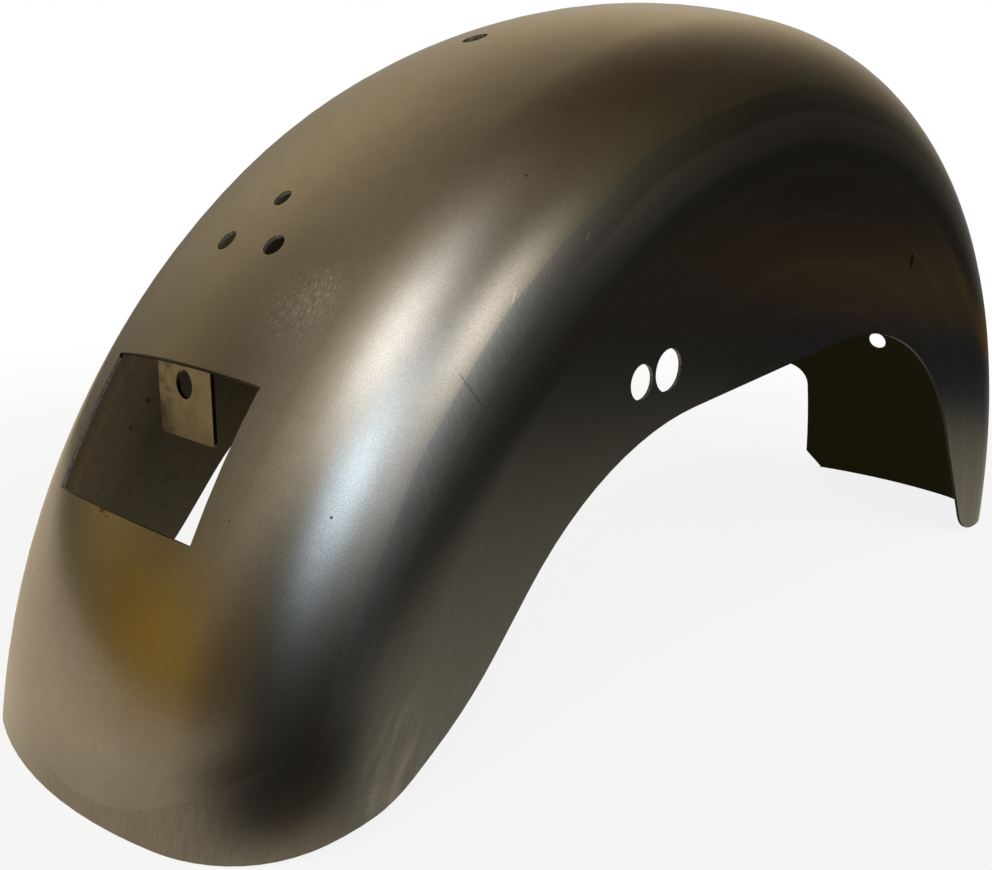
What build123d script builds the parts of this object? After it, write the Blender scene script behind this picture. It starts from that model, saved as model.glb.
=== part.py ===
"""Motorcycle rear fender: a raw steel shell with a drilled tab welded behind the tail opening.

Millimetres. +X points to the front of the machine, +Y to its left and +Z up. The fender stands on
its tail rim and on the lower edge of its front apron. The origin is on that floor, under the
middle of the part's box. Until the last step x is measured from the wheel axle.

The crown's side view is two tangent arcs. A place on an arc is given as the angle that its outward
normal makes with the level line to the rear, so 0 looks straight back and 90 straight up.
"""
import os
from math import asin, cos, degrees, radians, sin, sqrt

from build123d import *

# Sheet and overall form
sheet = 1.5
half_width = 108.0
main_radius = 337.0
tail_radius = 368.0
tail_joint_angle = 53.0
axle_drop = 39.3

# Cross section: a shallow arc over the crown, round shoulders and flat side walls
crown_arc = 212.0
shoulder_arc = 65.5
untrimmed_wall_radius = 60.0

# Lower edge of the side walls, from tail to front: knees of the line and the radius at each
rim_break = (-310.5, 0.0)
rim_break_radius = 163.0
tail_corner = (-262.0, 11.9)
tail_corner_radius = 52.0
flare_knee = (-226.8, 36.9)
flare_radius = 160.0
arch_rear_knee = (-155.8, 123.0)
arch_rear_radius = 155.0
arch_front_knee = (125.3, 158.1)
arch_front_radius = 170.0
apron_tip = (244.1, 0.0)
apron_tip_radius = 35.0

# Cut-out in the left front corner: its front view, and how far and how steeply it runs back
cutout_inner_y = 47.5
cutout_height = 77.0
cutout_corner_radius = 14.0
cutout_depth = 200.0
cutout_rise = 0.19
apron_chamfer_width = 11.5
apron_chamfer_height = 10.5

# Opening in the tail
opening_angle = 31.9
opening_width = 96.0
opening_height = 59.2

# Holes in the crown
light_hole_angle = 45.1
light_hole_spacing = 30.6
light_hole_radius = 4.75
wire_hole_angle = 48.6
wire_hole_radius = 4.0
seat_hole_angle = 68.9
seat_hole_radius = 5.55
front_hole_angle = 153.9
front_hole_y = -6.5
front_hole_radius = 6.35

# Holes through both side walls
strut_hole = (-116.5, 148.4)
strut_hole_radius = 8.75
strut_pilot = (-134.1, 145.7)
strut_pilot_radius = 7.15

# Tab behind the opening: its place is the distance along the crown from the opening's top edge
tab_setback = 4.6
tab_seat_gap = 0.2
tab_sheet = 1.6
tab_width = 36.5
tab_length = 32.2
tab_corner_radius = 1.5
tab_hole_drop = 11.3
tab_hole_radius = 5.55
tab_weld_radius = 2.4

# How far a cutting tool runs past what it cuts
overrun = 20.0


def normal(angle):
    """Outward direction on the crown at an angle, in the side view."""
    return Vector(-cos(radians(angle)), 0, sin(radians(angle)))


axle = Vector(0, 0, -axle_drop)
tail_centre = axle + normal(tail_joint_angle) * (main_radius - tail_radius)
rear_end = tail_centre.X - sqrt(tail_radius**2 - tail_centre.Z**2)
front_end = sqrt(main_radius**2 - axle_drop**2)
crown_height = main_radius - axle_drop
reach = max(-rear_end, front_end) + overrun


def section(radius, inset):
    """Filled section of the fender at a crown radius: radius along x, width along y."""
    half = half_width - inset
    crown = crown_arc - inset
    shoulder = shoulder_arc - inset
    turn = asin((half - shoulder) / (crown - shoulder))
    crown_centre = radius - inset - crown
    join_x = crown_centre + crown * cos(turn)
    join_y = crown * sin(turn)
    shoulder_x = crown_centre + (crown - shoulder) * cos(turn)
    middle = (radians(90) + turn) / 2
    bend_x = shoulder_x + shoulder * cos(middle)
    bend_y = half - shoulder + shoulder * sin(middle)
    outline = Line((untrimmed_wall_radius, half), (shoulder_x, half))
    outline += ThreePointArc((shoulder_x, half), (bend_x, bend_y), (join_x, join_y))
    outline += ThreePointArc((join_x, join_y), (radius - inset, 0), (join_x, -join_y))
    outline += ThreePointArc((join_x, -join_y), (bend_x, -bend_y), (shoulder_x, -half))
    outline += Line((shoulder_x, -half), (untrimmed_wall_radius, -half))
    outline += Line((untrimmed_wall_radius, -half), (untrimmed_wall_radius, half))
    return make_face(outline)


def sweep_section(centre, radius, start, end, inset):
    """The filled section carried around a centre from one angle to another."""
    across = Plane(origin=centre, x_dir=normal(start), z_dir=normal(start).cross(Vector(0, 1, 0)))
    face = across * section(radius, inset)
    return revolve(face, axis=Axis(centre, (0, 1, 0)), revolution_arc=end - start)


def full_form(inset):
    """The whole fender as a solid, from below the tail rim to below the apron's edge."""
    tail = sweep_section(tail_centre, tail_radius, 0, tail_joint_angle, inset)
    main = sweep_section(axle, main_radius, tail_joint_angle, 180, inset)
    return tail + main


def kept_side():
    """Everything above the lower edge of the walls."""
    knees = [rim_break, tail_corner, flare_knee, arch_rear_knee, arch_front_knee, apron_tip]
    radii = [rim_break_radius, tail_corner_radius, flare_radius,
             arch_rear_radius, arch_front_radius, apron_tip_radius]
    top = crown_height + overrun
    outline = FilletPolyline((-reach, 0), *knees, (reach, 0), radius=radii)
    outline += Polyline((reach, 0), (reach, top), (-reach, top), (-reach, 0))
    return extrude(Plane.XZ * make_face(outline), amount=half_width + overrun, both=True)


def left_cutout():
    """The piece missing from the left front corner, with the apron's chamfered corner."""
    chamfer_y = cutout_inner_y - apron_chamfer_width
    side = half_width + overrun
    outline = Polyline((chamfer_y, -half_width), (chamfer_y, 0), (cutout_inner_y, apron_chamfer_height),
                       (cutout_inner_y, cutout_height), (side, cutout_height), (side, -half_width),
                       close=True)
    face = make_face(outline)
    inner_corner = face.vertices().sort_by_distance((cutout_inner_y, cutout_height, 0))[0]
    face = fillet(inner_corner, cutout_corner_radius)
    front = Plane(origin=(front_end, 0, 0), x_dir=(0, 1, 0), z_dir=(1, 0, 0))
    return extrude(front * face, amount=cutout_depth, dir=(-1, 0, cutout_rise), both=True)


def crown_plane(angle, y=0.0):
    """A plane on the crown at an angle, with x up the crown, y to the left and z outward."""
    on_tail = angle < tail_joint_angle
    centre = tail_centre if on_tail else axle
    radius = tail_radius if on_tail else main_radius
    place = centre + normal(angle) * radius + Vector(0, y, 0)
    return Plane(origin=place, x_dir=Vector(0, 1, 0).cross(normal(angle)), z_dir=normal(angle))


def crown_hole(angle, radius, y=0.0):
    """A drill through the crown, square to it."""
    return crown_plane(angle, y) * Cylinder(radius, 2 * overrun)


def wall_hole(place, radius):
    """A drill through both side walls."""
    drill = Cylinder(radius, 2 * (half_width + overrun), rotation=(90, 0, 0))
    return Pos(place[0], 0, place[1]) * drill


def fender_shell(outer, inner):
    """The pressed shell with its trimmed edge, cut-out, opening and holes."""
    shell = (outer - inner) & kept_side()
    shell -= left_cutout()
    shell -= crown_plane(opening_angle) * Box(opening_height, opening_width, 2 * overrun)
    for side in (-1, 1):
        shell -= crown_hole(light_hole_angle, light_hole_radius, side * light_hole_spacing / 2)
    shell -= crown_hole(wire_hole_angle, wire_hole_radius)
    shell -= crown_hole(seat_hole_angle, seat_hole_radius)
    shell -= crown_hole(front_hole_angle, front_hole_radius, front_hole_y)
    shell -= wall_hole(strut_hole, strut_hole_radius)
    shell -= wall_hole(strut_pilot, strut_pilot_radius)
    return shell


def tail_tab(under_crown):
    """The drilled plate under the crown just ahead of the opening, with its weld in front."""
    seat_radius = tail_radius - sheet - tab_seat_gap
    angle = opening_angle + degrees((opening_height / 2 + tab_setback) / tail_radius)
    seat = tail_centre + normal(angle) * seat_radius
    plate = Pos(seat.X, 0, seat.Z - tab_length) * Box(
        tab_sheet, tab_width, 2 * tab_length, align=(Align.MIN, Align.CENTER, Align.MIN))
    low_corners = plate.edges().filter_by(Axis.X).group_by(Axis.Z)[0]
    plate = fillet(low_corners, tab_corner_radius)
    plate -= Pos(seat.X, 0, seat.Z - tab_hole_drop) * Cylinder(
        tab_hole_radius, 2 * overrun, rotation=(0, 90, 0))
    front_face = seat.X + tab_sheet
    weld_z = tail_centre.Z + sqrt(seat_radius**2 - (front_face - tail_centre.X) ** 2)
    plate += Pos(front_face, 0, weld_z) * Cylinder(tab_weld_radius, tab_width, rotation=(90, 0, 0))
    return plate & under_crown


centred = Pos(-(rear_end + front_end) / 2, 0, 0)
parts = {
    "fender_shell": centred * fender_shell(full_form(0), full_form(sheet)),
    "tail_tab": centred * tail_tab(full_form(sheet + tab_seat_gap)),
}
os.makedirs("parts", exist_ok=True)
for name, part in parts.items():
    export_step(part, f"parts/{name}.step")
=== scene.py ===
import math

import bpy
from mathutils import Matrix, Vector

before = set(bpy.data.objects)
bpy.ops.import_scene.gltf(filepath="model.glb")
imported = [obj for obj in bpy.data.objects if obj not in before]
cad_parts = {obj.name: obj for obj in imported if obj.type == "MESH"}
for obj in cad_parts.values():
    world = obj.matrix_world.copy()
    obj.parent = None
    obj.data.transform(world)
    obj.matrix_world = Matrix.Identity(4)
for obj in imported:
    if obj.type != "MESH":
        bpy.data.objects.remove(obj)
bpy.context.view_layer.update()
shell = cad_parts["fender_shell"]
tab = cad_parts["tail_tab"]

# All lengths are in metres and all colours are linear. The crown's two arcs have their centres at
# these x and z, and the section turns from the crown's arc into the shoulder's at this y.
AXLE = (0.00451, -0.0393)
TAIL_CENTRE = (0.02317, -0.06407)
MAIN_RADIUS = 0.337
TAIL_RADIUS = 0.368
JOINT_ANGLE = math.radians(53.0)
CROWN_ARC = 0.212
SHOULDER_ARC = 0.0655
SHOULDER_Y = 0.0425
TURN = math.asin(SHOULDER_Y / (CROWN_ARC - SHOULDER_ARC))
SHOULDER_BASE = CROWN_ARC - (CROWN_ARC - SHOULDER_ARC) * math.cos(TURN)

# A face is inside or cut when its normal's share along the smooth outward direction is below these
INSIDE_FACING = -0.5
CUT_FACING = 0.9

# Fine patterns of the steel: noise scale, detail and roughness
CLOUD = (14.0, 3.0, 0.6)
MOTTLE = (160.0, 2.0, 0.6)
GRAIN = (2300.0, 1.0, 0.7)
EDGE_MOTTLE = (700.0, 1.0, 0.5)

# Crown, with the grain's bump as strength and distance
CROWN_PALE = (0.430, 0.402, 0.355, 1)
CROWN_DEEP = (0.375, 0.345, 0.294, 1)
CROWN_MOTTLE = (0.32, 0.30, 0.262, 1)
CROWN_GRAIN = (0.235, 0.225, 0.20, 1)
SATIN_ROUGHNESS = 0.165
CLOUD_ROUGHNESS = 0.05
GRAIN_ROUGHNESS = 0.05
GRAIN_BUMP = (0.26, 0.00005)

# Rolled walls: girth of the line on the shoulder and of the soft band below it, and how far along
# each finish fades in or out
LINE_START = 0.1125
LINE_END = 0.1134
LINE_END_BY_RIM = 0.1400
LINE_WANDER = 0.008
LINE_WAVES_PER_METRE = 9.0
LINE_SEED = 3.0
LINE_SHARP_ALONG = (0.075, 0.150)
BAND_START = (0.1225, 0.1240)
BAND_END = (0.133, 0.1375)
BAND_ALONG = (0.30, 0.40)
RING_PHASE_PER_METRE = 310.0
RING_CREST = (0.55, 1.0)
RING_ALONG = (0.40, 0.50)
SLANT_ALONG = (0.12, 0.19)
SLANT_ALONG_END = (0.30, 0.38)
ROLLED_ROUGHNESS = 0.06
ROLLED_ROUGH_ALONG = (0.35, 0.55)
# The walls' colours are darker than the crown's partly for the rolled finish and partly as painted
# shade on walls that face away from the light
WALL_DEEP = (0.215, 0.220, 0.220, 1)
WALL_PALE = (0.285, 0.285, 0.280, 1)
BAND_REFLECTION_COLOUR = (0.40, 0.395, 0.385, 1)
RIPPLE_SHEEN_COLOUR = (0.38, 0.37, 0.34, 1)
SLANT_DEEP = (0.250, 0.256, 0.250, 1)
SLANT_PALE = (0.325, 0.328, 0.312, 1)

# Strip ground along the tail rim: its upper line is a shallow curve across the sheet
GROUND_MIDDLE = -0.02
GROUND_ALONG = 0.0725
GROUND_CURVE = 6.1
GROUND_LINE_WIDTH = 0.0008
GROUND_FADE_MIDDLE = -0.045
GROUND_FADE = (0.035, 0.07)
GROUND_DEEP = (0.225, 0.205, 0.175, 1)
GROUND_PALE = (0.345, 0.32, 0.28, 1)
GROUND_ROUGHNESS = 0.08

# Brush and scuff lines: tilt from fore and aft in degrees, length, width, seed and noise detail
ROLLED_BRUSH = (0.0, 0.030, 0.0012, 7.0, 1.0)
SMEAR = (-6.0, 0.030, 0.0045, 4.0, 2.0)
SLANT_BRUSH = (55.0, 0.008, 0.0007, 12.0, 1.0)
RIM_BRUSH = (4.0, 0.012, 0.0007, 2.0, 1.0)
CORNER_STROKES = (62.0, 0.004, 0.0005, 6.0, 1.0)
SCUFF_FINE = (7.0, 0.0034, 0.00028, 5.0, 1.0)
SCUFF_CROSS = (-12.0, 0.0030, 0.00028, 9.0, 1.0)
SCUFF_STRAY = (28.0, 0.0028, 0.00026, 3.0, 1.0)

# Ovals on the sheet: along and girth of the middle, half the length and width, softness
CORNER_PATCH = (0.105, -0.145, 0.060, 0.026, 0.9)
STROKE_PATCH = (0.100, -0.139, 0.014, 0.012, 0.8)
STAIN_AND_REFLECTION_PATCH = (0.146, -0.050, 0.048, 0.052, 0.9)
HAZE_PATCH = (0.262, -0.038, 0.030, 0.034, 0.9)
FINE_PATCH = (0.275, -0.050, 0.017, 0.011, 0.8)
CROSS_PATCH = (0.266, -0.044, 0.028, 0.024, 1.0)
STRAY_PATCH = (0.270, -0.046, 0.026, 0.022, 0.9)
CORNER_SMEAR_AND_SHEEN = (0.44, 0.44, 0.42, 1)
STROKE_COLOUR = (0.50, 0.50, 0.48, 1)
STAIN_AND_REFLECTION_COLOUR = (0.33, 0.235, 0.095, 1)
HAZE_COLOUR = (0.36, 0.355, 0.34, 1)
SCUFF_COLOUR = (0.86, 0.84, 0.79, 1)

# A scratch fades towards its ends and its sides, and a spot towards its rim, from these shares on
SCRATCH_END_FADE = 0.7
SCRATCH_CORE = 0.3
SPOT_CORE = 0.4

# Single scratches: (along, girth) of both ends, width and colour
SCRATCH_BRIGHT = (0.62, 0.60, 0.56, 1)
SCRATCH_DARK = (0.07, 0.065, 0.06, 1)
SCRATCHES = (
    ((0.3127, -0.1100), (0.3075, -0.1118), 0.00035, SCRATCH_BRIGHT),
    ((0.3559, -0.1176), (0.3520, -0.1190), 0.00035, SCRATCH_BRIGHT),
    ((0.2720, -0.1085), (0.2665, -0.1240), 0.00026, SCRATCH_DARK),
)

# Pits: place, radius and colour
PITS = (
    ((-0.2694, -0.0880, 0.1153), 0.0007, (0.04, 0.035, 0.03, 1)),
    ((-0.2903, -0.0595, 0.1118), 0.0005, (0.16, 0.13, 0.10, 1)),
    ((-0.3137, 0.0458, 0.0708), 0.0008, (0.06, 0.045, 0.03, 1)),
    ((-0.1749, -0.0834, 0.2211), 0.0006, (0.05, 0.035, 0.025, 1)),
)

# Rust speck by the opening's lower edge: places and radii, in a space squeezed across the sheet
RUST_SQUEEZE = (1.0, 0.35, 1.0)
RUST_SPECKS = (
    ((-0.3041, 0.0012, 0.1032), 0.0013),
    ((-0.3046, -0.0002, 0.1020), 0.0009),
)
RUST_COLOUR = (0.17, 0.085, 0.025, 1)

# Dark slit on the right wall, in a space squeezed along it
SLIT_SQUEEZE = (0.5, 1.0, 0.25)
SLIT_PLACE = (0.0500, -0.1080, 0.0452)
SLIT_SOFT = (0.0006, 0.0012)
SLIT_COLOUR = (0.01, 0.01, 0.01, 1)

# Edges of the tail opening, with painted shade along its top and bottom edges and on its top cut
# face
OPENING_TOP = 0.2348
OPENING_BOTTOM = 0.1751
OPENING_HALF_WIDTH = (0.0485, 0.0490)
EDGE_SHADE_WIDTH = (0.0004, 0.0008)
EDGE_SHADE_COLOUR = (0.03, 0.027, 0.02, 1)
TOP_CUT_FACE = 0.2345
TOP_CUT_FADE = (0.0010, 0.0016)
TOP_CUT_SHADE = (0.02, 0.018, 0.014, 1)

# Inside of the shell, its spots as place and radius, and its cut faces
INNER_BROWN = (0.130, 0.108, 0.073, 1)
INNER_GREY = (0.118, 0.112, 0.088, 1)
INNER_MOTTLE = (0.060, 0.050, 0.034, 1)
INNER_FRONT = (0.025, 0.023, 0.013, 1)
INNER_FRONT_ALONG = (0.55, 0.85)
INNER_ROUGHNESS = 0.22
INNER_SPOT = (0.03, 0.02, 0.01, 1)
INNER_SPOTS = (
    ((-0.2251, 0.1054, 0.1178), 0.0020),
    ((-0.2360, 0.1049, 0.1064), 0.0015),
)
CUT_DEEP = (0.26, 0.25, 0.235, 1)
CUT_PALE = (0.42, 0.41, 0.39, 1)
CUT_FRONT = (0.085, 0.075, 0.055, 1)
CUT_FRONT_ALONG = (0.70, 0.82)
CUT_ROUGHNESS = 0.60

# Tab: its noises, its colours with painted shade on its cut faces, the places of its stain and of
# its painted shade at the lower left, and its bump
TAB_CLOUD = (90.0, 3.0, 0.6)
TAB_GRAIN = (1400.0, 1.0, 0.5)
TAB_STAIN_NOISE = (150.0, 2.0, 0.7)
TAB_PALE = (0.300, 0.255, 0.168, 1)
TAB_DEEP = (0.250, 0.208, 0.130, 1)
TAB_STAIN = (0.12, 0.080, 0.035, 1)
TAB_SHADE = (0.10, 0.080, 0.050, 1)
TAB_CUT_SHADE = (0.035, 0.032, 0.025, 1)
TAB_STAIN_Y = (0.004, 0.013)
TAB_STAIN_Z = (0.150, 0.160)
TAB_SHADE_Y = (0.006, 0.016)
TAB_SHADE_Z = (0.150, 0.132)
TAB_CUT_FACING = (0.80, 0.95)
TAB_ROUGHNESS = 0.33
TAB_CLOUD_ROUGHNESS = 0.1
TAB_BUMP = (0.3, 0.0001)

# Soft lights of the studio: azimuth from +X towards +Y, elevation, sharpness and colour
STUDIO_LIGHTS = (
    (-142.7, 56.1, 38.0, (2.37, 2.48, 2.68)),
    (-171.4, 55.9, 9.0, (0.79, 0.70, 0.53)),
    (-128.7, 32.2, 43.0, (1.87, 2.42, 3.08)),
    (-103.5, 29.9, 24.0, (1.10, 1.16, 1.23)),
    (-87.8, 36.6, 90.0, (1.88, 1.75, 1.64)),
    (-79.2, 47.0, 8.0, (0.126, 0.103, 0.036)),
    (81.2, 37.7, 8.5, (0.51, 0.415, 0.262)),
    (30.0, 25.3, 13.0, (0.59, 0.476, 0.312)),
    (76.3, 4.0, 14.0, (0.073, 0.060, 0.050)),
    (120.0, 14.0, 30.0, (0.292, 0.208, 0.063)),
    (138.0, 5.0, 60.0, (0.195, 0.100, 0.0)),
    (153.0, 6.0, 60.0, (0.350, 0.225, 0.0)),
    (171.0, 5.0, 60.0, (0.165, 0.082, 0.0)),
    (-166.0, 6.0, 60.0, (0.075, 0.045, 0.0)),
    (162.0, 24.0, 20.0, (0.185, 0.158, 0.105)),
    (-77.0, 17.0, 16.0, (0.100, 0.095, 0.090)),
    (-124.0, 46.5, 50.0, (0.300, 0.255, 0.240)),
    (0.0, 89.0, 4.0, (0.034, 0.012, 0.0)),
)
ROOM_LIGHT = (0.024, 0.022, 0.019)
WHITE = (1, 1, 1, 1)

# White backdrop as the metal mirrors it: azimuth, elevation and sharpness
BACKDROP = (35, -8, 20.0)

# Floor: a plane just below the object, with its diffuse colour
FLOOR_SIZE = 6.0
FLOOR_HEIGHT = -0.0005
FLOOR_COLOUR = (0.8, 0.8, 0.8, 1)

# How far from the middle the camera sees the floor's shadow fade, and the white mixed over it
FLOOR_CLEAR = (0.35, 1.10)
FLOOR_WHITE = (0.86, 1.0)

# The floor as the metal mirrors it: brighter behind the object, with darker and lighter places.
# Each place has its middle, a near and a far distance and the levels there. The limit and the
# glow ahead have two x and the levels there.
FLOOR_SLOPE = (-0.30, 0.95, 0.0)
FLOOR_OFFSET = 0.75
FLOOR_LEAST = 0.20
FLOOR_GAIN = 0.74
FLOOR_LIMIT = (-0.62, -0.38, 0.56, 0.67)
NEAR_SHADE = ((-0.36, -0.215, 0.0), 0.07, 0.15, 0.14, 1.0)
FAR_SHADE = ((-0.62, -0.36, 0.0), 0.20, 0.42, 0.15, 1.0)
SIDE_GLOW = ((0.0, -0.30, 0.0), 0.15, 0.65, 0.085, 0.0)
FRONT_GLOW = ((0.42, -0.17, 0.0), 0.10, 0.32, 0.08, 0.0)
AHEAD_GLOW = (1.15, 1.60, 0.0, 0.07)
FLOOR_TINT_NEAR = (1.0, 0.89, 0.68, 1)
FLOOR_TINT_FAR = (1.0, 0.83, 0.60, 1)
FLOOR_TINT_Y = (-0.15, 0.15)
FLOOR_TINT_COOL = (0.80, 0.88, 1.0, 1)
FLOOR_COOL_X = (0.55, 0.90)
FLOOR_TINT_BROWN = (1.0, 0.62, 0.28, 1)
FLOOR_BROWN_X = (1.10, 1.50)

# The photograph's camera: yaw from +X towards +Y, downward pitch and roll in degrees
CAMERA_PLACE = (-0.47906, -0.35035, 0.22346)
CAMERA_YAW = 46.781
CAMERA_PITCH = 20.46
CAMERA_ROLL = 0.602
CAMERA_LENS = 38.799
CAMERA_SENSOR = 36.0
CAMERA_SHIFT = (0.08406, 0.13221)
CAMERA_CLIP = (0.01, 100.0)

# Which inputs and which output of a mix node hold colours, and a vector node's scale input
MIX_COLOUR_A = 6
MIX_COLOUR_B = 7
MIX_COLOUR = 2
VECTOR_SCALE = 3


class Nodes:
    """Short calls for building a node tree."""

    def __init__(self, tree):
        self.tree = tree
        tree.nodes.clear()

    def new(self, kind, **values):
        node = self.tree.nodes.new(kind)
        for key, value in values.items():
            setattr(node, key, value)
        return node

    def link(self, source, target):
        self.tree.links.new(source, target)

    def put(self, socket, value):
        """Sets a socket to a number, a tuple or another node's output."""
        if isinstance(value, bpy.types.NodeSocket):
            self.link(value, socket)
        elif value is not None:
            socket.default_value = value

    def math(self, op, a, b=None, clamp=False):
        node = self.new("ShaderNodeMath", operation=op, use_clamp=clamp)
        self.put(node.inputs[0], a)
        self.put(node.inputs[1], b)
        return node.outputs[0]

    def add(self, first, *others):
        for value in others:
            first = self.math("ADD", first, value)
        return first

    def mul(self, first, *others):
        for value in others:
            first = self.math("MULTIPLY", first, value)
        return first

    def sub(self, a, b):
        return self.math("SUBTRACT", a, b)

    def div(self, a, b):
        return self.math("DIVIDE", a, b)

    def gap(self, a, b):
        """How far two numbers are apart."""
        return self.math("ABSOLUTE", self.sub(a, b))

    def vec(self, op, a, b=None, scale=None):
        node = self.new("ShaderNodeVectorMath", operation=op)
        self.put(node.inputs[0], a)
        self.put(node.inputs[1], b)
        self.put(node.inputs[VECTOR_SCALE], scale)
        gives_number = op in ("DOT_PRODUCT", "LENGTH", "DISTANCE")
        return node.outputs[1 if gives_number else 0]

    def split(self, vector):
        node = self.new("ShaderNodeSeparateXYZ")
        self.link(vector, node.inputs[0])
        return node.outputs

    def join(self, x, y, z):
        node = self.new("ShaderNodeCombineXYZ")
        for socket, value in zip(node.inputs, (x, y, z)):
            self.put(socket, value)
        return node.outputs[0]

    def ramp(self, value, low, high, start=0.0, end=1.0):
        """Maps low..high smoothly to start..end, held at the ends."""
        node = self.new("ShaderNodeMapRange", interpolation_type="SMOOTHSTEP")
        for socket, number in zip(node.inputs, (value, low, high, start, end)):
            self.put(socket, number)
        return node.outputs[0]

    def fade(self, value, low, high):
        """1 below low, falling smoothly to 0 at high."""
        return self.ramp(value, low, high, 1.0, 0.0)

    def noise(self, vector, scale, detail, roughness):
        node = self.new("ShaderNodeTexNoise", noise_dimensions="3D")
        self.put(node.inputs["Vector"], vector)
        self.put(node.inputs["Scale"], scale)
        self.put(node.inputs["Detail"], detail)
        self.put(node.inputs["Roughness"], roughness)
        return node.outputs["Fac"]

    def mix(self, factor, a, b):
        """From colour a at factor 0 to colour b at factor 1."""
        node = self.new("ShaderNodeMix", data_type="RGBA", blend_type="MIX")
        self.put(node.inputs[0], factor)
        self.put(node.inputs[MIX_COLOUR_A], a)
        self.put(node.inputs[MIX_COLOUR_B], b)
        return node.outputs[MIX_COLOUR]

    def cover(self, under, over, mask, share):
        """Lays a colour over another, in full where the mask is 1 and the share is 1."""
        return self.mix(self.mul(mask, share), under, over)

    def seen_by(self):
        """1 where the camera sees the point itself, and 1 where the metal mirrors it."""
        path = self.new("ShaderNodeLightPath").outputs
        mirrored = self.math("MAXIMUM", path["Is Glossy Ray"], path["Is Transmission Ray"])
        return path["Is Camera Ray"], mirrored


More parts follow.
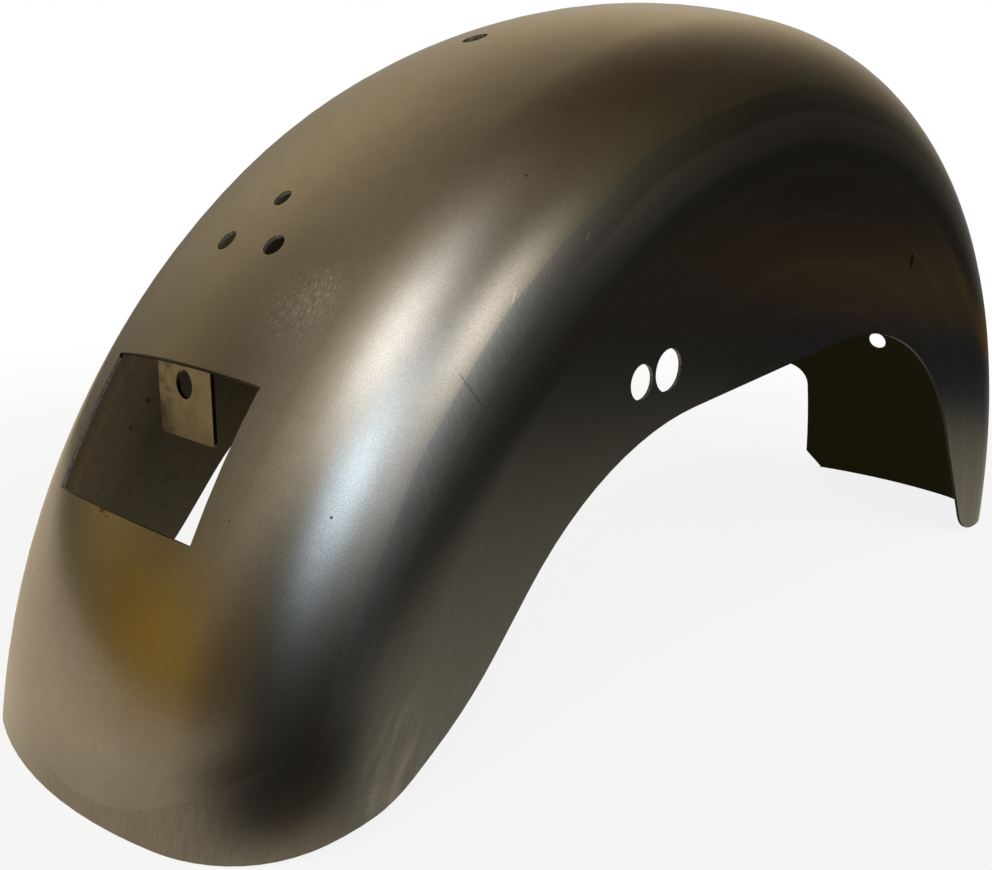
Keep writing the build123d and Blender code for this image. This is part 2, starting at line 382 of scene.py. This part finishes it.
class Skin:
    """Where a point lies on the pressed sheet, worked out from its place in the row frame.

    along is the distance round the crown from the rear level line, girth the distance across the
    section from the middle line (left is positive), and normal the smooth outward direction.
    """

    def __init__(self, n):
        self.n = n
        coords = n.new("ShaderNodeTexCoord").outputs
        self.place = coords["Object"]
        x, y, z = n.split(self.place)

        # Arm from the centre of the arc that the point lies on
        main_x = n.sub(x, AXLE[0])
        main_z = n.sub(z, AXLE[1])
        behind_joint = n.add(n.mul(main_x, -math.sin(JOINT_ANGLE)),
                             n.mul(main_z, -math.cos(JOINT_ANGLE)))
        on_tail = n.math("GREATER_THAN", behind_joint, 0.0)
        arm_x = n.sub(main_x, n.mul(on_tail, TAIL_CENTRE[0] - AXLE[0]))
        arm_z = n.sub(main_z, n.mul(on_tail, TAIL_CENTRE[1] - AXLE[1]))
        reach = n.math("SQRT", n.add(n.mul(arm_x, arm_x), n.mul(arm_z, arm_z)))
        radius = n.add(MAIN_RADIUS, n.mul(on_tail, TAIL_RADIUS - MAIN_RADIUS))
        angle = n.math("ARCTAN2", arm_z, n.mul(arm_x, -1.0))
        from_joint = n.mul(n.sub(angle, JOINT_ANGLE), radius)
        self.along = n.add(from_joint, JOINT_ANGLE * TAIL_RADIUS)

        # Way across the section: crown arc, then shoulder, then down the wall
        depth = n.sub(reach, radius)
        away = n.math("ABSOLUTE", y)
        side = n.math("SIGN", y)
        crown_angle = n.math("ARCTAN2", away, n.add(depth, CROWN_ARC))
        on_shoulder = n.math("GREATER_THAN", crown_angle, TURN)
        above_wall = n.add(depth, SHOULDER_BASE)
        shoulder_angle = n.math("ARCTAN2", n.sub(away, SHOULDER_Y),
                                n.math("MAXIMUM", above_wall, 0.0))
        crown_girth = n.mul(n.math("MINIMUM", crown_angle, TURN), CROWN_ARC)
        shoulder_girth = n.mul(n.sub(shoulder_angle, TURN), SHOULDER_ARC, on_shoulder)
        down_wall = n.math("MAXIMUM", n.mul(above_wall, -1.0), 0.0)
        self.away_girth = n.add(crown_girth, shoulder_girth, down_wall)
        self.girth = n.mul(self.away_girth, side)

        # Smooth direction of the sheet, used everywhere but on the cut faces
        lean = n.add(n.mul(crown_angle, n.sub(1.0, on_shoulder)),
                     n.mul(shoulder_angle, on_shoulder))
        rise = n.math("COSINE", lean)
        spread = n.mul(n.math("SINE", lean), side)
        outward = n.join(n.mul(n.div(arm_x, reach), rise), spread,
                         n.mul(n.div(arm_z, reach), rise))
        facing = n.vec("DOT_PRODUCT", coords["Normal"], outward)
        self.inside = n.math("LESS_THAN", facing, INSIDE_FACING)
        self.cut = n.math("LESS_THAN", n.math("ABSOLUTE", facing), CUT_FACING)
        smooth = n.vec("SCALE", outward, scale=n.math("SIGN", facing))
        picked = n.mix(self.cut, smooth, coords["Normal"])
        turned = n.new("ShaderNodeVectorTransform", vector_type="NORMAL",
                       convert_from="OBJECT", convert_to="WORLD")
        n.link(picked, turned.inputs[0])
        self.normal = n.vec("NORMALIZE", turned.outputs[0])

        # Patterns that several finishes share
        self.cloud = n.noise(self.place, *CLOUD)
        self.mottle = n.noise(self.place, *MOTTLE)
        self.grain = n.noise(self.place, *GRAIN)

    def streaks(self, tilt, length, width, seed, detail):
        """Noise drawn out along the sheet, turned by tilt degrees from fore and aft."""
        n = self.n
        c = math.cos(math.radians(tilt))
        s = math.sin(math.radians(tilt))
        ahead = n.add(n.mul(self.along, c), n.mul(self.girth, s))
        across = n.sub(n.mul(self.girth, c), n.mul(self.along, s))
        vector = n.join(n.div(ahead, length), n.div(across, width), seed)
        return n.noise(vector, scale=1.0, detail=detail, roughness=0.5)

    def patch(self, along, girth, half_along, half_girth, soft):
        """1 in an oval on the sheet, falling to 0 at its edge."""
        n = self.n
        a = n.div(n.sub(self.along, along), half_along)
        g = n.div(n.sub(self.girth, girth), half_girth)
        far = n.math("SQRT", n.add(n.mul(a, a), n.mul(g, g)))
        return n.fade(far, 1.0 - soft, 1.0)

    def scratch(self, start, end, width):
        """1 on a thin straight mark between two places given as (along, girth)."""
        n = self.n
        length = math.dist(start, end)
        ca = (end[0] - start[0]) / length
        cg = (end[1] - start[1]) / length
        a = n.sub(self.along, start[0])
        g = n.sub(self.girth, start[1])
        ahead = n.add(n.mul(a, ca), n.mul(g, cg))
        across = n.gap(n.mul(g, ca), n.mul(a, cg))
        half = length / 2
        on_length = n.fade(n.gap(ahead, half), half * SCRATCH_END_FADE, half)
        return n.mul(on_length, n.fade(across, width * SCRATCH_CORE, width))

    def spot(self, centre, radius):
        """1 in a small round spot at a place in the row frame."""
        n = self.n
        return n.fade(n.vec("DISTANCE", self.place, centre), radius * SPOT_CORE, radius)


def metal(name):
    """A new metallic material, with its nodes and its shader."""
    mat = bpy.data.materials.new(name)
    mat.use_nodes = True
    n = Nodes(mat.node_tree)
    out = n.new("ShaderNodeOutputMaterial")
    shader = n.new("ShaderNodeBsdfPrincipled")
    shader.inputs["Metallic"].default_value = 1.0
    n.link(shader.outputs[0], out.inputs[0])
    return mat, n, shader


def set_bump(n, shader, height, strength, distance, normal=None):
    """Lets a pattern raise the surface, on top of a given normal if there is one."""
    bump = n.new("ShaderNodeBump")
    bump.inputs["Strength"].default_value = strength
    bump.inputs["Distance"].default_value = distance
    n.put(bump.inputs["Height"], height)
    n.put(bump.inputs["Normal"], normal)
    n.link(bump.outputs[0], shader.inputs["Normal"])


def crown_colour(n, skin):
    """Warm grey with faint clouds, mottling and a fine pressed grain."""
    colour = n.mix(n.ramp(skin.cloud, low=0.3, high=0.72), CROWN_PALE, CROWN_DEEP)
    colour = n.mix(n.ramp(skin.mottle, low=0.35, high=0.65, end=0.20), colour, CROWN_MOTTLE)
    return n.mix(n.ramp(skin.grain, low=0.38, high=0.62, end=0.42), colour, CROWN_GRAIN)


def rolled_wall(n, skin):
    """Where the rolling wheel has worked the walls, and their cooler, darker colour: partly the
    finish it left there, partly painted shade.
    """
    waves = n.join(n.mul(skin.along, LINE_WAVES_PER_METRE), 0.0, LINE_SEED)
    wander = n.sub(n.noise(waves, scale=1.0, detail=2.0, roughness=0.5), 0.5)
    girth = n.add(skin.away_girth, n.mul(wander, LINE_WANDER))
    line_end = n.ramp(skin.along, *LINE_SHARP_ALONG, start=LINE_END_BY_RIM, end=LINE_END)
    rolled = n.ramp(girth, LINE_START, line_end)

    wall = n.mix(skin.streaks(*ROLLED_BRUSH), WALL_DEEP, WALL_PALE)
    # Painted reflection: a lighter band along the wall below the line on the shoulder
    band = n.mul(n.ramp(girth, *BAND_START), n.fade(girth, *BAND_END),
                 n.ramp(skin.along, *BAND_ALONG))
    wall = n.cover(wall, BAND_REFLECTION_COLOUR, band, share=0.75)

    # Slanting brush marks between the line and the band, towards the rear
    slant = n.ramp(skin.streaks(*SLANT_BRUSH), low=0.3, high=0.7)
    rear = n.mul(n.fade(girth, *BAND_START), n.fade(skin.along, *SLANT_ALONG_END),
                 n.ramp(skin.along, *SLANT_ALONG))
    wall = n.cover(wall, n.mix(slant, SLANT_DEEP, SLANT_PALE), rear, share=0.8)

    # Painted sheen: lighter rings along the wall's rolled ripples
    ring = n.math("SINE", n.mul(girth, RING_PHASE_PER_METRE))
    ripple_sheen = n.mul(n.ramp(ring, *RING_CREST), n.ramp(skin.along, *RING_ALONG))
    return rolled, n.cover(wall, RIPPLE_SHEEN_COLOUR, ripple_sheen, share=0.32)


def ground_strip(n, skin):
    """1 on the strip that was ground along the tail rim."""
    from_middle = n.sub(skin.girth, GROUND_MIDDLE)
    line = n.add(n.mul(from_middle, from_middle, GROUND_CURVE), GROUND_ALONG)
    below = n.ramp(n.sub(line, skin.along), 0.0, GROUND_LINE_WIDTH)
    return n.mul(below, n.fade(n.gap(skin.girth, GROUND_FADE_MIDDLE), *GROUND_FADE))


def tail_marks(n, skin, colour, ground):
    """The ground strip, brush marks by the right corner with a lighter smear that is part brushing
    and part painted reflection, and a patch below the opening that is part stain and part painted
    reflection.
    """
    upright = n.ramp(skin.streaks(*RIM_BRUSH), low=0.3, high=0.7)
    colour = n.cover(colour, n.mix(upright, GROUND_DEEP, GROUND_PALE), ground, share=0.45)
    # Lighter smear by the right corner: partly brushing, partly painted reflection of the floor
    corner = n.mul(skin.patch(*CORNER_PATCH), n.ramp(skin.streaks(*SMEAR), low=0.35, high=0.70))
    colour = n.cover(colour, CORNER_SMEAR_AND_SHEEN, corner, share=0.60)
    strokes = n.mul(n.ramp(skin.streaks(*CORNER_STROKES), low=0.52, high=0.68),
                    skin.patch(*STROKE_PATCH))
    colour = n.cover(colour, STROKE_COLOUR, strokes, share=0.55)
    # Patch below the opening: partly a stain, partly painted reflection
    return n.cover(colour, STAIN_AND_REFLECTION_COLOUR, skin.patch(*STAIN_AND_REFLECTION_PATCH), share=0.35)


def handling_marks(n, skin, colour, rolled):
    """Scuffs above the opening, single scratches, pits, a rust speck and a slit in the wall."""
    haze = n.mul(skin.patch(*HAZE_PATCH), n.ramp(skin.mottle, low=0.3, high=0.7))
    colour = n.cover(colour, HAZE_COLOUR, haze, share=0.35)
    fine = n.mul(n.ramp(skin.streaks(*SCUFF_FINE), low=0.52, high=0.68), skin.patch(*FINE_PATCH))
    cross = n.mul(n.ramp(skin.streaks(*SCUFF_CROSS), low=0.56, high=0.72),
                  skin.patch(*CROSS_PATCH))
    stray = n.mul(n.ramp(skin.streaks(*SCUFF_STRAY), low=0.58, high=0.72),
                  skin.patch(*STRAY_PATCH))
    scuff = n.math("MAXIMUM", n.math("ADD", fine, cross, clamp=True), stray)
    colour = n.cover(colour, SCUFF_COLOUR, scuff, share=0.85)

    for start, end, width, tint in SCRATCHES:
        colour = n.cover(colour, tint, skin.scratch(start, end, width), share=0.8)
    for centre, radius, tint in PITS:
        colour = n.mix(skin.spot(centre, radius), colour, tint)
    for centre, radius in RUST_SPECKS:
        far = n.vec("DISTANCE", n.vec("MULTIPLY", skin.place, RUST_SQUEEZE), centre)
        speck = n.fade(far, radius * SPOT_CORE, radius)
        colour = n.cover(colour, RUST_COLOUR, speck, share=0.9)
    far = n.vec("DISTANCE", n.vec("MULTIPLY", skin.place, SLIT_SQUEEZE), SLIT_PLACE)
    return n.mix(n.mul(n.fade(far, *SLIT_SOFT), rolled), colour, SLIT_COLOUR)


def inner_colour(n, skin):
    """Dark sheet with a few spots, darkest at the front."""
    inner = n.mix(n.ramp(skin.cloud, low=0.35, high=0.65), INNER_BROWN, INNER_GREY)
    inner = n.mix(n.ramp(skin.mottle, low=0.45, high=0.70, end=0.25), inner, INNER_MOTTLE)
    inner = n.mix(n.ramp(skin.along, *INNER_FRONT_ALONG), inner, INNER_FRONT)
    for centre, radius in INNER_SPOTS:
        inner = n.cover(inner, INNER_SPOT, skin.spot(centre, radius), share=0.7)
    return inner


def cut_colour(n, skin, in_opening):
    """Cut faces: pale, with painted shade on the opening's top cut face, and dark towards the
    front.
    """
    mottle = n.noise(skin.place, *EDGE_MOTTLE)
    edge = n.mix(n.ramp(mottle, low=0.35, high=0.65), CUT_DEEP, CUT_PALE)
    # Painted shade on the top cut face of the opening
    top_cut_shade = n.mul(n.fade(n.gap(skin.along, TOP_CUT_FACE), *TOP_CUT_FADE), in_opening)
    edge = n.mix(top_cut_shade, edge, TOP_CUT_SHADE)
    return n.mix(n.ramp(skin.along, *CUT_FRONT_ALONG), edge, CUT_FRONT)


def bare_steel(name):
    """Bare pressed sheet: a warm satin crown, cooler rolled walls darkened partly by painted shade,
    a dark inside and cut edges.
    """
    mat, n, shader = metal(name)
    skin = Skin(n)
    rolled, wall = rolled_wall(n, skin)
    ground = ground_strip(n, skin)
    colour = n.mix(rolled, crown_colour(n, skin), wall)
    colour = tail_marks(n, skin, colour, ground)
    colour = handling_marks(n, skin, colour, rolled)

    # Painted shade: a dark line along the opening's top and bottom edges
    in_opening = n.fade(n.math("ABSOLUTE", skin.girth), *OPENING_HALF_WIDTH)
    top_line = n.fade(n.gap(skin.along, OPENING_TOP), *EDGE_SHADE_WIDTH)
    low_line = n.fade(n.gap(skin.along, OPENING_BOTTOM), *EDGE_SHADE_WIDTH)
    edge_shade = n.mul(n.math("MAXIMUM", top_line, low_line), in_opening)
    colour = n.cover(colour, EDGE_SHADE_COLOUR, edge_shade, share=0.9)

    colour = n.mix(skin.inside, colour, inner_colour(n, skin))
    colour = n.mix(skin.cut, colour, cut_colour(n, skin, in_opening))
    n.link(colour, shader.inputs["Base Color"])

    # Satin, rougher where it was ground or rolled, and much rougher inside and on the cut faces
    satin = n.add(n.mul(skin.cloud, CLOUD_ROUGHNESS), SATIN_ROUGHNESS)
    by_grain = n.mul(skin.grain, GRAIN_ROUGHNESS)
    by_grinding = n.mul(ground, GROUND_ROUGHNESS)
    on_inside = n.mul(skin.inside, INNER_ROUGHNESS)
    by_rolling = n.mul(rolled, n.fade(skin.along, *ROLLED_ROUGH_ALONG), ROLLED_ROUGHNESS)
    rough = n.add(satin, by_grain, by_grinding, on_inside, by_rolling)
    rough = n.math("MAXIMUM", rough, n.mul(skin.cut, CUT_ROUGHNESS))
    n.link(rough, shader.inputs["Roughness"])
    set_bump(n, shader, skin.grain, *GRAIN_BUMP, skin.normal)
    return mat


def tab_steel(name):
    """Bare plate of the tab: tan mill finish with a brown stain at its upper left, painted shade at
    its lower left and dark painted shade on its cut faces.
    """
    mat, n, shader = metal(name)
    coords = n.new("ShaderNodeTexCoord").outputs
    place = coords["Object"]
    _, y, z = n.split(place)
    cloud = n.noise(place, *TAB_CLOUD)
    grain = n.noise(place, *TAB_GRAIN)
    colour = n.mix(n.ramp(cloud, low=0.35, high=0.65), TAB_PALE, TAB_DEEP)
    stain_place = n.add(n.ramp(y, *TAB_STAIN_Y), n.ramp(z, *TAB_STAIN_Z))
    ragged = n.ramp(n.noise(place, *TAB_STAIN_NOISE), low=0.42, high=0.60)
    stain = n.math("MULTIPLY", stain_place, ragged, clamp=True)
    colour = n.cover(colour, TAB_STAIN, stain, share=0.7)
    # Painted shade on the lower left of the tab
    low_left = n.mul(n.ramp(y, *TAB_SHADE_Y), n.ramp(z, *TAB_SHADE_Z))
    colour = n.cover(colour, TAB_SHADE, low_left, share=0.4)
    # The tab's cut faces are painted near black as shade
    forward = n.math("ABSOLUTE", n.split(coords["Normal"])[0])
    cut = n.fade(forward, *TAB_CUT_FACING)
    n.link(n.mix(cut, colour, TAB_CUT_SHADE), shader.inputs["Base Color"])
    rough = n.add(n.mul(cloud, TAB_CLOUD_ROUGHNESS), TAB_ROUGHNESS)
    n.link(rough, shader.inputs["Roughness"])
    set_bump(n, shader, grain, *TAB_BUMP)
    return mat


def glow(n, direction, azimuth, elevation, sharpness):
    """1 towards a direction, falling softly around it. Azimuth runs from +X towards +Y."""
    a = math.radians(azimuth)
    e = math.radians(elevation)
    axis = (math.cos(a) * math.cos(e), math.sin(a) * math.cos(e), math.sin(e))
    near = n.vec("DOT_PRODUCT", direction, axis)
    return n.math("EXPONENT", n.mul(n.sub(near, 1.0), sharpness))


def studio_world():
    """A studio with a few soft lights round the object, and the white backdrop behind it."""
    world = bpy.data.worlds.new("studio")
    bpy.context.scene.world = world
    world.use_nodes = True
    n = Nodes(world.node_tree)
    out = n.new("ShaderNodeOutputWorld")
    direction = n.vec("NORMALIZE", n.new("ShaderNodeTexCoord").outputs["Generated"])
    total = n.join(*ROOM_LIGHT)
    for azimuth, elevation, sharpness, colour in STUDIO_LIGHTS:
        share = glow(n, direction, azimuth, elevation, sharpness)
        total = n.vec("ADD", total, n.vec("SCALE", colour, scale=share))
    studio = n.new("ShaderNodeBackground")
    n.link(total, studio.inputs[0])
    white = n.new("ShaderNodeBackground")
    white.inputs[0].default_value = WHITE
    by_camera, mirrored = n.seen_by()
    backdrop = n.mul(mirrored, glow(n, direction, *BACKDROP))
    mix = n.new("ShaderNodeMixShader")
    n.link(n.math("MAXIMUM", by_camera, backdrop), mix.inputs[0])
    n.link(studio.outputs[0], mix.inputs[1])
    n.link(white.outputs[0], mix.inputs[2])
    n.link(mix.outputs[0], out.inputs[0])


def camera():
    """The photograph's camera."""
    data = bpy.data.cameras.new("camera")
    data.sensor_width = CAMERA_SENSOR
    data.lens = CAMERA_LENS
    data.shift_x, data.shift_y = CAMERA_SHIFT
    data.clip_start, data.clip_end = CAMERA_CLIP
    cam = bpy.data.objects.new("camera", data)
    bpy.context.scene.collection.objects.link(cam)
    yaw, pitch, roll = (math.radians(v) for v in (CAMERA_YAW, CAMERA_PITCH, CAMERA_ROLL))
    look = Vector((math.cos(yaw) * math.cos(pitch), math.sin(yaw) * math.cos(pitch),
                   -math.sin(pitch)))
    level = Vector((math.sin(yaw), -math.cos(yaw), 0.0))
    upright = level.cross(look)
    right = math.cos(roll) * level + math.sin(roll) * upright
    up = math.cos(roll) * upright - math.sin(roll) * level
    turn = Matrix((right, up, -look)).transposed().to_4x4()
    cam.matrix_world = Matrix.Translation(CAMERA_PLACE) @ turn
    bpy.context.scene.camera = cam


def floor():
    """A plain pale floor with the object's shadow.

    The metal shows it white behind the object, and dimmer towards the dark side of the studio.
    """
    bpy.ops.mesh.primitive_plane_add(size=FLOOR_SIZE, location=(0.0, 0.0, FLOOR_HEIGHT))
    sheet = bpy.context.active_object
    sheet.name = "floor"
    mat = bpy.data.materials.new("floor")
    mat.use_nodes = True
    n = Nodes(mat.node_tree)
    out = n.new("ShaderNodeOutputMaterial")
    diffuse = n.new("ShaderNodeBsdfDiffuse")
    diffuse.inputs[0].default_value = FLOOR_COLOUR
    place = n.new("ShaderNodeTexCoord").outputs["Object"]
    x, y, _ = n.split(place)

    def around(centre, low, high, start, end):
        """From start near a place to end further away."""
        return n.ramp(n.vec("DISTANCE", place, centre), low, high, start, end)

    # Level and tint that the metal shows
    behind = n.add(n.vec("DOT_PRODUCT", place, FLOOR_SLOPE), FLOOR_OFFSET)
    behind = n.math("MAXIMUM", behind, FLOOR_LEAST)
    behind = n.mul(behind, behind, FLOOR_GAIN)
    behind = n.math("MINIMUM", behind, n.ramp(x, *FLOOR_LIMIT))
    behind = n.add(behind, around(*SIDE_GLOW))
    behind = n.mul(behind, around(*NEAR_SHADE), around(*FAR_SHADE))
    extra = n.add(n.ramp(x, *AHEAD_GLOW), around(*FRONT_GLOW))
    level = n.math("ADD", behind, extra, clamp=True)
    tint = n.mix(n.ramp(y, *FLOOR_TINT_Y), FLOOR_TINT_NEAR, FLOOR_TINT_FAR)
    tint = n.mix(n.ramp(x, *FLOOR_COOL_X), tint, FLOOR_TINT_COOL)
    tint = n.mix(n.ramp(x, *FLOOR_BROWN_X), tint, FLOOR_TINT_BROWN)

    # White mixed over the floor for the camera, the mirrored floor for the metal
    by_camera, mirrored = n.seen_by()
    light = n.new("ShaderNodeEmission")
    n.link(n.mix(mirrored, WHITE, tint), light.inputs[0])
    n.link(n.add(n.mul(mirrored, level), n.sub(1.0, mirrored)), light.inputs[1])
    clear = n.ramp(n.vec("LENGTH", place), *FLOOR_CLEAR, *FLOOR_WHITE)
    mix = n.new("ShaderNodeMixShader")
    n.link(n.math("MAXIMUM", n.mul(by_camera, clear), mirrored), mix.inputs[0])
    n.link(diffuse.outputs[0], mix.inputs[1])
    n.link(light.outputs[0], mix.inputs[2])
    n.link(mix.outputs[0], out.inputs[0])
    sheet.data.materials.append(mat)


def set_material(obj, mat):
    for slot in obj.material_slots:
        slot.material = mat


studio_world()
camera()
floor()
set_material(shell, bare_steel("bare_steel"))
set_material(tab, tab_steel("tab_steel"))
bpy.context.scene.view_settings.view_transform = "Standard"
bpy.context.view_layer.update()
